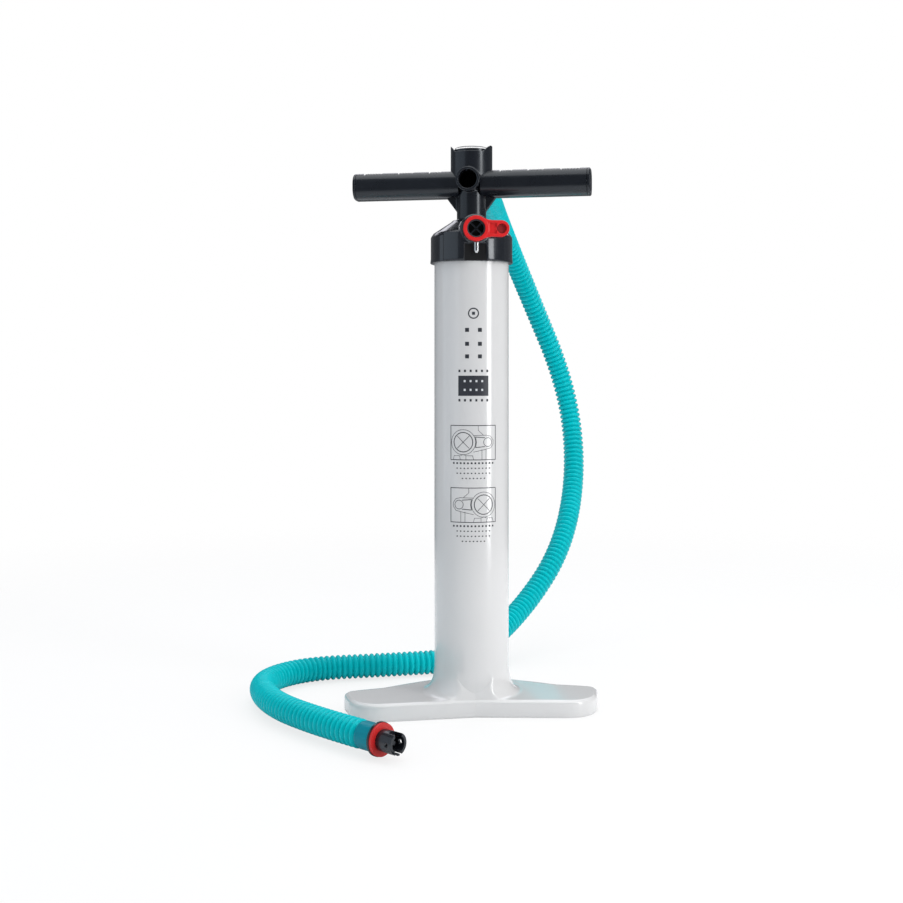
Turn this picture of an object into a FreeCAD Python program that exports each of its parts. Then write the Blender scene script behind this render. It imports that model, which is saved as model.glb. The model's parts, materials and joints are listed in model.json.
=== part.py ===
"""Double action hand pump: a white barrel on a winged foot, a black T handle on a hollow rod,
a red selector lever on the cap and a corrugated hose from the handle to a bayonet nozzle.

Frame: origin on the barrel's axis at the floor, +Z up the barrel, -Y out of the front.
The handle's own front, with its deflation port, is swung about the barrel's axis by handle_turn.
"""
import FreeCAD, Part
import math
import os

import Sketcher
from FreeCAD import Placement, Rotation, Vector

os.makedirs("parts", exist_ok=True)
doc = FreeCAD.newDocument("hand_pump")

# ---------------------------------------------------------------- driving dimensions, in mm
SIZES = {
    # barrel and foot
    "barrel_od": 80.0, "barrel_bore": 75.0, "barrel_top": 503.0,
    "floor_under": 18.0, "floor_top": 22.0,
    "foot_thick": 18.0, "foot_skin": 4.0, "foot_round": 4.0,
    "foot_crease": 45.0, "foot_tip_across": 126.0, "foot_tip_out": 57.0,
    "foot_end_across": 139.0, "foot_end_back": 6.0,
    "foot_waist_across": 95.0, "foot_waist_back": 20.0,
    "foot_rear_across": 45.0, "foot_rear_back": 50.0,
    "foot_front_corner": 40.0, "foot_back_corner": 14.0,
    "flare_od": 106.0, "flare_top": 41.0, "rib": 6.0,
    "intake_hole": 5.0, "intake_circle": 30.0, "flap_od": 42.0, "flap_thick": 1.4, "flap_stem": 4.0,
    # cap
    "cap_od": 88.0, "cap_bottom": 477.5, "cap_deck": 506.0, "cap_shoulder": 511.0, "cap_top": 524.2,
    "cap_cone_od": 44.0, "bush_od": 32.0, "bush_bottom": 500.0, "wiper_thick": 4.0,
    "boss_od": 29.2, "boss_front": 46.0, "selector_height": 510.5,
    "niche_width": 23.4, "niche_top": 495.9, "niche_back": 41.2,
    "pin_od": 4.8, "pin_out": 43.65, "pin_bottom": 485.5, "pin_top": 498.4, "pin_tip": 2.8,
    # selector
    "disc_od": 22.6, "disc_back": 41.7, "disc_front": 46.1, "air_hole": 8.0, "air_height": 513.5,
    "lever_od": 26.8, "lever_bore": 19.2, "lever_back": 46.2, "lever_thick": 5.5,
    "lever_reach": 26.0, "lever_end": 18.0, "lever_neck": 17.2,
    "recess_at": 17.6, "recess_long": 8.0, "recess_tall": 11.6, "recess_deep": 1.0,
    "pocket_at": 22.75, "pocket_end_at": 27.2, "pocket_tall": 10.4, "pocket_deep": 3.2,
    "grille_rim": 1.2, "grille_thick": 3.6, "grille_rib": 1.1,
    # rod and piston
    "rod_od": 25.0, "rod_wall": 1.5, "rod_top": 552.0, "rod_play": 0.05,
    "tube_od": 15.0, "tube_bore": 12.6, "tube_top": 556.0, "gland_thick": 4.0,
    "piston_od": 73.8, "piston_bottom": 24.0, "piston_plate": 6.0, "seal_seat": 66.0, "seal_thick": 6.0,
    "collar_od": 34.0, "collar_tall": 12.0, "rod_port": 6.0,
    # handle
    "handle_turn": -15.0, "handle_length": 250.0, "handle_height": 563.0,
    "grip_deep": 34.0, "grip_tall": 28.8, "grip_round": 12.0, "grip_wall": 3.0, "plug_thick": 3.4,
    "hub_od": 45.0, "hub_top": 604.5, "hub_dip": 598.3, "hub_shoulder": 572.0, "hub_taper": 560.0,
    "neck_od": 31.6, "neck_bottom": 524.5, "gusset_bottom": 533.5, "gusset_reach": 26.8,
    "gusset_thick": 8.0, "dip_half": 15.0,
    "screw_height": 541.0, "screw_od": 4.0, "screw_head": 6.8, "screw_way": 7.0, "screw_head_at": 14.0,
    "port_height": 566.0, "port_od": 26.0, "port_bore": 20.0, "port_front": 27.0, "port_rear": 36.0,
    "outlet_bore": 14.0, "manifold": 18.0, "manifold_tall": 22.0,
    # gauge
    "gauge_floor": 585.0, "gauge_od": 39.8, "gauge_pocket": 40.0, "dial_od": 32.8, "dial_height": 595.0,
    "gauge_rim": 599.5, "needle_length": 12.0,
    # hose and its fittings
    "hose_od": 28.0, "hose_wall": 1.4, "cuff_od": 31.0, "end_cuff_od": 26.8,
    "hose_start": 57.7, "nut_od": 34.0, "nut_front": 24.0,
    "nozzle_od": 21.0, "nozzle_bore": 15.6, "flange_od": 32.4, "gasket_od": 31.2, "gasket_seat": 20.0,
    "end_cuff": 21.0, "nozzle_tip": 47.0, "nozzle_slot": 9.0,
    "spigot_od": 18.2, "spigot_bore": 13.0, "spigot_start": 6.0, "nozzle_step": 31.0, "pusher_at": 27.0,
}

# The hose's route from the cuff on the handle's rear port, down behind the pump to the floor,
# round its left side and forward to the nozzle.
HOSE_ROUTE = [
    (15.0, 56.0, 566.0), (35.0, 130.0, 565.0), (70.0, 265.0, 530.0), (125.0, 390.0, 460.0),
    (175.0, 425.0, 345.0), (185.0, 390.0, 230.0), (150.0, 305.0, 130.0), (90.0, 250.0, 55.0),
    (10.0, 153.0, 15.0), (-92.0, 135.0, 15.0), (-182.0, 124.0, 15.0), (-230.0, 62.0, 16.0),
    (-220.0, -15.0, 17.0), (-178.0, -93.0, 18.0), (-118.0, -158.0, 18.0),
]

sheet = doc.addObject("Spreadsheet::Sheet", "sizes")
for row, (alias, value) in enumerate(SIZES.items(), 1):
    sheet.set("A%d" % row, alias)
    sheet.set("B%d" % row, str(value))
    sheet.setAlias("B%d" % row, alias)
doc.recompute()

FACING = {
    "up": Rotation(),
    "front": Rotation(Vector(1, 0, 0), 90),
    "back": Rotation(Vector(1, 0, 0), -90),
    "right": Rotation(Vector(0, 1, 0), 90),
}
pieces = []


# ---------------------------------------------------------------- building helpers
def size(alias):
    return float(sheet.get(alias))


def bind(thing, **texts):
    """Bind properties of a feature to formulas over the sheet."""
    for name, text in texts.items():
        thing.setExpression(name, text)
    return thing


def place(thing, facing="up", x="0", y="0", z="0"):
    thing.Placement = Placement(Vector(), FACING[facing])
    for axis, text in (("x", x), ("y", y), ("z", z)):
        if text != "0":
            thing.setExpression("Placement.Base." + axis, text)
    return thing


def cylinder(name, across, length, facing="up", x="0", y="0", z="0"):
    thing = doc.addObject("Part::Cylinder", name)
    bind(thing, Radius="(%s) / 2" % across, Height=length)
    return place(thing, facing, x, y, z)


def block(name, wide, deep, tall, x, y, z):
    """A box centred on x, with its low corner at y and z."""
    thing = doc.addObject("Part::Box", name)
    bind(thing, Length=wide, Width=deep, Height=tall)
    return place(thing, "up", "%s - (%s) / 2" % (x, wide), y, z)


def origin_plane(body, role):
    return next(item for item in body.Origin.OriginFeatures if item.Role == role)


def sketch_on(body, role, outlines):
    """A sketch of closed outlines; every corner is a pair of formulas over the sheet."""
    sketch = body.newObject("Sketcher::SketchObject", body.Name + "_sketch")
    sketch.AttachmentSupport = [(origin_plane(body, role), "")]
    sketch.MapMode = "FlatFace"
    for corners in outlines:
        first = sketch.GeometryCount
        count = len(corners)
        turn = 2 * math.pi / count
        ring = [Vector(100 + 50 * math.cos(turn * i), 50 * math.sin(turn * i), 0) for i in range(count)]
        for i in range(count):
            sketch.addGeometry(Part.LineSegment(ring[i], ring[(i + 1) % count]))
        for i, (across, up) in enumerate(corners):
            following = first + (i + 1) % count
            sketch.addConstraint(Sketcher.Constraint("Coincident", first + i, 2, following, 1))
            for kind, text in (("DistanceX", across), ("DistanceY", up)):
                index = sketch.addConstraint(Sketcher.Constraint(kind, -1, 1, first + i, 1, 1.0))
                sketch.setExpression("Constraints[%d]" % index, text)
    return sketch


def turned(name, corners, facing="up", x="0", y="0", z="0"):
    """A body turned about its own Z from a closed outline of (radius, height) formulas."""
    body = doc.addObject("PartDesign::Body", name)
    revolution = body.newObject("PartDesign::Revolution", name + "_turning")
    sketch = sketch_on(body, "XZ_Plane", [corners])
    revolution.Profile = sketch
    revolution.ReferenceAxis = (sketch, ["V_Axis"])
    revolution.Angle = 360
    body.Tip = revolution
    return place(body, facing, x, y, z)


def padded(name, role, outlines, length, middle=False):
    body = doc.addObject("PartDesign::Body", name)
    sketch = sketch_on(body, role, outlines)
    pad = body.newObject("PartDesign::Pad", name + "_pad")
    pad.Profile = sketch
    pad.Midplane = middle
    bind(pad, Length=length)
    return body


def round_edges(body, radius, chosen):
    """Fillet the body's edges that the test picks, with a radius from the sheet."""
    doc.recompute()
    base = body.Tip
    names = ["Edge%d" % (i + 1) for i, edge in enumerate(base.Shape.Edges) if chosen(edge)]
    fillet = body.newObject("PartDesign::Fillet", body.Name + "_rounding")
    fillet.Base = (base, names)
    bind(fillet, Radius=radius)
    body.Tip = fillet
    return body


def joined(name, *members):
    thing = doc.addObject("Part::MultiFuse", name)
    thing.Shapes = list(members)
    thing.Refine = True
    return thing


def grouped(name, *members):
    thing = doc.addObject("Part::Compound", name)
    thing.Links = list(members)
    return thing


def less(name, base, *tools):
    """The base with each tool cut out of it in turn."""
    for tool in tools:
        thing = doc.addObject("Part::Cut", name)
        thing.Base = base
        thing.Tool = tool
        base = thing
    thing.Refine = True
    return thing


def ring(name, across, bore, length, **where):
    outer = cylinder(name + "_outer", across, length, **where)
    inner = cylinder(name + "_inner", bore, length, **where)
    return less(name, outer, inner)


def finish(thing, label, placement=None):
    """Name a finished sub-part and put it in its place on the pump."""
    thing.Label = label
    if placement is not None:
        thing.Placement = placement.multiply(thing.Placement)
    pieces.append(thing)
    return thing


def handle_frame():
    return Placement(Vector(), Rotation(Vector(0, 0, 1), size("handle_turn")))


# ---------------------------------------------------------------- barrel and foot
def foot_outline():
    right = [
        ("sizes.foot_tip_across", "-sizes.foot_tip_out"),
        ("sizes.foot_end_across", "sizes.foot_end_back"),
        ("sizes.foot_waist_across", "sizes.foot_waist_back"),
        ("sizes.foot_rear_across", "sizes.foot_rear_back"),
    ]
    left = [("-" + across, along) for across, along in reversed(right)]
    return [("0", "-sizes.foot_crease")] + right + left


def foot_prism(name, height):
    """The foot's plan shape, with its corners rounded, raised to a height."""
    body = padded(name, "XY_Plane", [foot_outline()], height)

    def upright_at(across, out):
        def test(edge):
            middle = edge.CenterOfMass
            return abs(abs(middle.x) - across) < 0.1 and abs(middle.y - out) < 0.1
        return test

    round_edges(body, "sizes.foot_front_corner", upright_at(size("foot_tip_across"), -size("foot_tip_out")))
    round_edges(body, "sizes.foot_back_corner", upright_at(size("foot_end_across"), size("foot_end_back")))
    return body


def foot_cells():
    """The hollow cells under each wing, between cross ribs, as outlines on the floor."""
    front = "-(sizes.foot_crease + %s * (sizes.foot_tip_out - sizes.foot_crease) / sizes.foot_tip_across)"
    slope = ("(sizes.foot_rear_back - sizes.foot_waist_back)"
             " / (sizes.foot_waist_across - sizes.foot_rear_across)")
    cells = []
    for side in ("", "-"):
        for start, end in ((48, 64), (68, 84), (88, 104)):
            corners = []
            for across in (start, end):
                corners.append((side + str(across), front % across + " + sizes.rib"))
            for across in (end, start):
                back = "sizes.foot_rear_back - (%d - sizes.foot_rear_across) * %s" % (across, slope)
                corners.append((side + str(across), back + " - sizes.rib"))
            cells.append(corners)
        cells.append([(side + "108", "-32"), (side + "123", "-26"), (side + "127", "0"), (side + "108", "5")])
    return cells


def make_barrel():
    plate = foot_prism("foot_plate", "sizes.foot_thick")
    thick = size("foot_thick")
    round_edges(plate, "sizes.foot_round", lambda edge: edge.BoundBox.ZMin > thick - 0.01)
    doc.recompute()
    solid_volume = plate.Shape.Volume
    cells = sketch_on(plate, "XY_Plane", foot_cells())
    pocket = plate.newObject("PartDesign::Pocket", "foot_cells")
    pocket.Profile = cells
    pocket.Reversed = True
    bind(pocket, Length="sizes.foot_thick - sizes.foot_skin")
    plate.Tip = pocket
    doc.recompute()
    print("foot cells remove %.0f mm3" % (solid_volume - pocket.Shape.Volume))

    # the flare is a drum with a ring hollowed out of its corner, trimmed to the foot's plan
    under = "(sizes.foot_thick - sizes.foot_skin)"
    drum = cylinder("flare_drum", "sizes.flare_od", "sizes.flare_top - " + under, z=under)
    drop = "(sizes.flare_top - sizes.foot_thick)"
    run = "(sizes.flare_od - sizes.barrel_od) / 2"
    sweep = "((%s)^2 + (%s)^2) / (2 * (%s))" % (run, drop, run)
    hollow = doc.addObject("Part::Torus", "flare_hollow")
    bind(hollow, Radius1="sizes.barrel_od / 2 + " + sweep, Radius2=sweep)
    place(hollow, z="sizes.flare_top")
    flare_parts = [less("flare_turning", drum, hollow), foot_prism("flare_trim", "sizes.flare_top")]
    flare = doc.addObject("Part::MultiCommon", "flare")
    flare.Shapes = flare_parts

    tube = cylinder("barrel_tube", "sizes.barrel_od", "sizes.barrel_top")
    bore = cylinder("barrel_bore", "sizes.barrel_bore", "sizes.barrel_top - sizes.floor_top",
                    z="sizes.floor_top")
    stem = cylinder("stem_hole", "sizes.flap_stem", "6", z="sizes.floor_top - 6")
    cuts = [bore, stem]
    for across in ("sizes.rib / 2 + 11", "-sizes.rib / 2 - 11"):
        for back in ("sizes.rib / 2", "-sizes.rib / 2 - 22"):
            cuts.append(block("under_cell", "22", "22", "sizes.floor_under", across, back, "0"))
    for index in range(8):
        angle = "%d" % (22.5 + 45 * index) if index % 2 else "%.1f" % (22.5 + 45 * index)
        reach = "sizes.intake_circle / 2 * "
        cuts.append(cylinder("intake_hole", "sizes.intake_hole", "5", z="sizes.floor_top - 4.5",
                             x=reach + "cos(%s)" % angle, y=reach + "sin(%s)" % angle))
    finish(less("barrel_with_foot", joined("barrel_solid", plate, flare, tube), *cuts), "barrel_and_foot")

    flap = turned("flap", [
        ("0", "sizes.floor_top - 6"), ("sizes.flap_stem / 2", "sizes.floor_top - 6"),
        ("sizes.flap_stem / 2", "sizes.floor_top"), ("sizes.flap_od / 2", "sizes.floor_top"),
        ("sizes.flap_od / 2", "sizes.floor_top + 0.8"), ("3", "sizes.floor_top + sizes.flap_thick"),
        ("0", "sizes.floor_top + sizes.flap_thick")])
    finish(flap, "intake_flap")
    washer = ring("cap_washer", "sizes.barrel_od - 0.2", "sizes.barrel_bore",
                  "sizes.cap_deck - sizes.barrel_top", z="sizes.barrel_top")
    finish(washer, "cap_seal")


# ---------------------------------------------------------------- cap
def make_cap():
    inside = "sizes.barrel_od / 2 + 0.05"
    shell = turned("cap_shell", [
        (inside, "sizes.cap_bottom"), ("sizes.cap_od / 2 + 0.6", "sizes.cap_bottom"),
        ("sizes.cap_od / 2", "sizes.cap_bottom + 5.5"), ("sizes.cap_od / 2", "sizes.cap_shoulder - 4"),
        ("sizes.cap_od / 2 - 2.5", "sizes.cap_shoulder"), ("sizes.cap_cone_od / 2", "sizes.cap_top"),
        ("sizes.bush_od / 2", "sizes.cap_top"), ("sizes.bush_od / 2", "sizes.bush_bottom"),
        ("sizes.bush_od / 2 + 3.5", "sizes.bush_bottom"), ("sizes.bush_od / 2 + 3.5", "sizes.cap_deck + 6"),
        ("sizes.barrel_bore / 2 - 1.5", "sizes.cap_deck"), (inside, "sizes.cap_deck")])
    boss = less("cap_boss",
                cylinder("boss_drum", "sizes.boss_od", "sizes.boss_front - 18", "front",
                         y="-18", z="sizes.selector_height"),
                cylinder("boss_clearance", "2 * (%s)" % inside, "sizes.cap_deck - 470", z="470"))
    niche = block("cap_niche", "sizes.niche_width", "12", "sizes.niche_top - 470",
                  "0", "-sizes.niche_back - 12", "470")
    seat = cylinder("disc_seat", "sizes.disc_od + 0.2", "6", "front",
                    y="-sizes.disc_back + 0.1", z="sizes.selector_height")
    passage = cylinder("air_passage", "sizes.air_hole", "15", "front", y="-27", z="sizes.air_height")
    drop = cylinder("air_drop", "sizes.air_hole", "sizes.air_height - 498", y="-28.5", z="498")
    pin_hole = cylinder("pin_hole", "sizes.pin_od", "sizes.pin_top - sizes.niche_top + 5",
                        y="-sizes.pin_out", z="sizes.niche_top - 5")
    finish(less("cap", joined("cap_solid", shell, boss), niche, seat, passage, drop, pin_hole), "top_cap")

    pin = turned("pin", [
        ("0", "sizes.pin_bottom"), ("sizes.pin_od / 2", "sizes.pin_bottom + sizes.pin_tip"),
        ("sizes.pin_od / 2", "sizes.pin_top"), ("0", "sizes.pin_top")], y="-sizes.pin_out")
    finish(pin, "cap_lock_pin")
    bush = ring("bush", "sizes.bush_od", "sizes.rod_od + 2 * sizes.rod_play",
                "sizes.cap_top - sizes.wiper_thick - sizes.bush_bottom", z="sizes.bush_bottom")
    finish(bush, "rod_bush")
    wiper = ring("wiper", "sizes.bush_od", "sizes.rod_od + 2 * sizes.rod_play", "sizes.wiper_thick",
                 z="sizes.cap_top - sizes.wiper_thick")
    finish(wiper, "rod_wiper")


# ---------------------------------------------------------------- selector
def make_selector():
    height = "sizes.selector_height"
    disc = cylinder("disc_blank", "sizes.disc_od", "sizes.disc_front - sizes.disc_back", "front",
                    y="-sizes.disc_back", z=height)
    gap = cylinder("disc_port", "sizes.air_hole", "8", "front", y="-40", z="sizes.air_height")
    finish(less("valve_disc", disc, gap), "selector_disc")

    rim = ring("grille_rim", "sizes.lever_bore - 0.2", "sizes.lever_bore - 0.2 - 2 * sizes.grille_rim",
               "sizes.grille_thick", facing="front", y="-sizes.disc_front", z=height)
    ribs = []
    for index, lean in enumerate((45, -45)):
        rib = padded("grille_rib%d" % index, "XY_Plane", [[
            ("-sizes.lever_bore / 2 + 0.6", "-sizes.grille_rib / 2"),
            ("sizes.lever_bore / 2 - 0.6", "-sizes.grille_rib / 2"),
            ("sizes.lever_bore / 2 - 0.6", "sizes.grille_rib / 2"),
            ("-sizes.lever_bore / 2 + 0.6", "sizes.grille_rib / 2")]], "sizes.grille_thick - 0.8")
        place(rib, "front", y="-sizes.disc_front", z=height)
        rib.Placement = Placement(Vector(), FACING["front"].multiply(Rotation(Vector(0, 0, 1), lean)))
        ribs.append(rib)
    finish(joined("grille", rim, *ribs), "vent_grille")

    back = "-sizes.lever_back"
    eye = cylinder("lever_eye", "sizes.lever_od", "sizes.lever_thick", "front", y=back, z=height)
    arm = block("lever_arm", "sizes.lever_reach", "sizes.lever_thick", "sizes.lever_neck",
                "sizes.lever_reach / 2", back + " - sizes.lever_thick", height + " - sizes.lever_neck / 2")
    end = cylinder("lever_end", "sizes.lever_end", "sizes.lever_thick", "front",
                   x="sizes.lever_reach", y=back, z=height)
    bore = cylinder("lever_hole", "sizes.lever_bore", "sizes.lever_thick", "front", y=back, z=height)
    face = back + " - sizes.lever_thick"
    shallow = block("lever_recess", "sizes.recess_long", "sizes.recess_deep", "sizes.recess_tall",
                    "sizes.recess_at", face, height + " - sizes.recess_tall / 2")
    pocket_box = block("lever_pocket_box", "sizes.pocket_end_at - sizes.pocket_at", "sizes.pocket_deep",
                       "sizes.pocket_tall", "(sizes.pocket_at + sizes.pocket_end_at) / 2", face,
                       height + " - sizes.pocket_tall / 2")
    pocket_end = cylinder("lever_pocket_end", "sizes.pocket_tall", "sizes.pocket_deep", "front",
                          x="sizes.pocket_end_at", y=face + " + sizes.pocket_deep", z=height)
    lever = less("lever", joined("lever_solid", eye, arm, end), bore, shallow, pocket_box, pocket_end)
    finish(lever, "selector_lever")


# ---------------------------------------------------------------- rod and piston
def make_rod_and_piston():
    seat = "(sizes.piston_bottom + sizes.piston_plate + sizes.seal_thick / 2)"
    rod_bore = "sizes.rod_od - 2 * sizes.rod_wall"
    outer = cylinder("rod_outer", "sizes.rod_od", "sizes.rod_top - " + seat, z=seat)
    inner = cylinder("rod_inner", rod_bore, "sizes.rod_top - " + seat, z=seat)
    ports = [
        cylinder("rod_port_across", "sizes.rod_port", "30", "right", x="-15", z="62"),
        cylinder("rod_port_along", "sizes.rod_port", "30", "front", y="15", z="62"),
        cylinder("rod_screw_hole", "sizes.screw_od", "30", "right", x="-15", z="sizes.screw_height"),
    ]
    finish(less("rod", outer, inner, *ports), "piston_rod", handle_frame())

    tube = ring("tube", "sizes.tube_od", "sizes.tube_bore", "sizes.tube_top - " + seat, z=seat)
    finish(tube, "delivery_tube")
    gland = ring("gland", rod_bore, "sizes.tube_od", "sizes.gland_thick", z="sizes.rod_top - sizes.gland_thick")
    finish(gland, "rod_gland")

    plate_top = "sizes.piston_bottom + sizes.piston_plate"
    lower = turned("piston_base", [
        ("sizes.tube_bore / 2", "sizes.piston_bottom"), ("sizes.piston_od / 2 - 1", "sizes.piston_bottom"),
        ("sizes.piston_od / 2", "sizes.piston_bottom + 1"), ("sizes.piston_od / 2", plate_top),
        ("sizes.seal_seat / 2", plate_top), ("sizes.seal_seat / 2", seat), ("sizes.tube_bore / 2", seat)])
    finish(less("piston_base_drilled", lower, *piston_holes("base", "2.6", "24", "12")), "piston_lower")

    seal_top = plate_top + " + sizes.seal_thick"
    upper_top = seal_top + " + sizes.piston_plate"
    upper = turned("piston_cover", [
        ("sizes.rod_od / 2", seat), ("sizes.seal_seat / 2", seat), ("sizes.seal_seat / 2", seal_top),
        ("sizes.piston_od / 2", seal_top), ("sizes.piston_od / 2", upper_top),
        ("sizes.collar_od / 2", upper_top), ("sizes.collar_od / 2 - 2", upper_top + " + sizes.collar_tall"),
        ("sizes.rod_od / 2", upper_top + " + sizes.collar_tall")])
    finish(less("piston_cover_drilled", upper, *piston_holes("cover", "2.6", "30", "14")), "piston_upper")

    seal = turned("seal", [
        ("sizes.seal_seat / 2", plate_top), ("sizes.barrel_bore / 2 - 0.05", plate_top),
        ("sizes.barrel_bore / 2 - 1.4", plate_top + " + sizes.seal_thick / 2"),
        ("sizes.barrel_bore / 2 - 0.05", seal_top), ("sizes.seal_seat / 2", seal_top)])
    finish(seal, "piston_seal")

    screws = []
    for index, (shank, head) in enumerate(zip(piston_holes("shank", "2.6", "26", "16"),
                                              piston_holes("head", "6", "42", "2.4"))):
        screws.append(joined("piston_screw%d" % index, shank, head))
    finish(grouped("piston_screw_set", *screws), "piston_screws")


def piston_holes(name, across, low, tall):
    """Three upright cylinders round the rod, for the piston's screws and their holes."""
    made = []
    for index in range(3):
        made.append(cylinder("piston_%s%d" % (name, index), across, tall, z=low,
                             x="25 * cos(%d)" % (90 + 120 * index), y="25 * sin(%d)" % (90 + 120 * index)))
    return made


# ---------------------------------------------------------------- handle
def bar(name, deep, tall, length, corner, x="0"):
    """A bar along X with rounded long edges, centred on the handle's height."""
    body = padded(name, "YZ_Plane", [[
        ("-(%s) / 2" % deep, "-(%s) / 2" % tall), ("(%s) / 2" % deep, "-(%s) / 2" % tall),
        ("(%s) / 2" % deep, "(%s) / 2" % tall), ("-(%s) / 2" % deep, "(%s) / 2" % tall)]], length, True)
    round_edges(body, corner, lambda edge: edge.BoundBox.XLength > 1 and edge.BoundBox.YLength < 0.01
                and edge.BoundBox.ZLength < 0.01)
    return place(body, x=x, z="sizes.handle_height")


def make_handle():
    grips = bar("grip_bar", "sizes.grip_deep", "sizes.grip_tall", "sizes.handle_length", "sizes.grip_round")
    hub = turned("hub", [
        ("0", "sizes.neck_bottom"), ("sizes.neck_od / 2", "sizes.neck_bottom"),
        ("sizes.neck_od / 2", "sizes.hub_taper"), ("sizes.hub_od / 2", "sizes.hub_shoulder"),
        ("sizes.hub_od / 2", "sizes.hub_top"), ("0", "sizes.hub_top")])
    under = "sizes.handle_height - sizes.grip_tall / 2 + 2"
    gussets = padded("gussets", "XZ_Plane", [[
        ("-sizes.neck_od / 2 + 0.5", "sizes.gusset_bottom"), ("sizes.neck_od / 2 - 0.5", "sizes.gusset_bottom"),
        ("sizes.gusset_reach + 1.4", under), ("-sizes.gusset_reach - 1.4", under)]],
        "sizes.gusset_thick", True)
    ports = cylinder("port_pipe", "sizes.port_od", "sizes.port_front + sizes.port_rear", "front",
                     y="sizes.port_rear", z="sizes.port_height")
    solid = joined("handle_solid", grips, hub, gussets, ports)

    hollow_reach = "(sizes.handle_length / 2 - sizes.hub_od / 2 - 2)"
    hollow_middle = "(sizes.handle_length / 2 - %s / 2)" % hollow_reach
    hollows = []
    for name, side in (("left_hollow", "-"), ("right_hollow", "")):
        hollows.append(bar(name, "sizes.grip_deep - 2 * sizes.grip_wall",
                           "sizes.grip_tall - 2 * sizes.grip_wall", hollow_reach,
                           "sizes.grip_round - sizes.grip_wall", side + hollow_middle))
    front_bore = cylinder("front_bore", "sizes.port_bore", "sizes.port_front - 2", "front",
                          y="-2", z="sizes.port_height")
    rear_bore = cylinder("rear_bore", "sizes.outlet_bore", "sizes.port_rear - 2", "back",
                         y="2", z="sizes.port_height")
    chamber = cylinder("chamber", "sizes.manifold", "sizes.manifold_tall", z="sizes.rod_top")
    rod_seat = cylinder("rod_seat", "sizes.rod_od", "sizes.rod_top - sizes.neck_bottom", z="sizes.neck_bottom")
    gauge_pocket = cylinder("gauge_pocket", "sizes.gauge_pocket", "30", z="sizes.gauge_floor")
    gauge_feed = cylinder("gauge_feed", "3", "18", z="sizes.gauge_floor - 15")
    dip = padded("hub_dip", "XZ_Plane", [[
        ("-sizes.dip_half", "sizes.hub_dip"), ("sizes.dip_half", "sizes.hub_dip"),
        ("sizes.hub_od / 2 - 0.6", "sizes.hub_top + 1"),
        ("-sizes.hub_od / 2 + 0.6", "sizes.hub_top + 1")]], "60", True)
    screw_at = "sizes.screw_height"
    screw_ways = cylinder("screw_ways", "sizes.screw_od", "46", "right", x="-23", z=screw_at)
    head_left = cylinder("head_way_left", "sizes.screw_way", "10", "right",
                         x="-sizes.screw_head_at - 10", z=screw_at)
    head_right = cylinder("head_way_right", "sizes.screw_way", "10", "right",
                          x="sizes.screw_head_at", z=screw_at)
    body = less("handle", solid, gauge_pocket, gauge_feed, rod_seat, chamber, front_bore, rear_bore, dip,
                *hollows, screw_ways, head_left, head_right)
    finish(body, "handle_body", handle_frame())

    screws = []
    for name, shank_at, head_at in (("left", "-sizes.screw_head_at", "-sizes.screw_head_at - 2.5"),
                                    ("right", "sizes.screw_head_at - 3", "sizes.screw_head_at")):
        shank = cylinder("shank_" + name, "sizes.screw_od", "3", "right", x=shank_at, z=screw_at)
        head = cylinder("head_" + name, "sizes.screw_head", "2.5", "right", x=head_at, z=screw_at)
        screws.append(joined("rod_screw_" + name, shank, head))
    finish(grouped("rod_screw_set", *screws), "rod_screws", handle_frame())

    for name, side in (("left", "-"), ("right", "")):
        face = "%s(sizes.handle_length / 2 + sizes.plug_thick / 2)" % side
        spigot = "%s(sizes.handle_length / 2 - 4)" % side
        cover = bar("plug_cover_" + name, "sizes.grip_deep", "sizes.grip_tall", "sizes.plug_thick",
                    "sizes.grip_round", face)
        core = bar("plug_core_" + name, "sizes.grip_deep - 2 * sizes.grip_wall - 0.2",
                   "sizes.grip_tall - 2 * sizes.grip_wall - 0.2", "8",
                   "sizes.grip_round - sizes.grip_wall", spigot)
        finish(joined("plug_" + name, cover, core), name + "_grip_plug", handle_frame())


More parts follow.
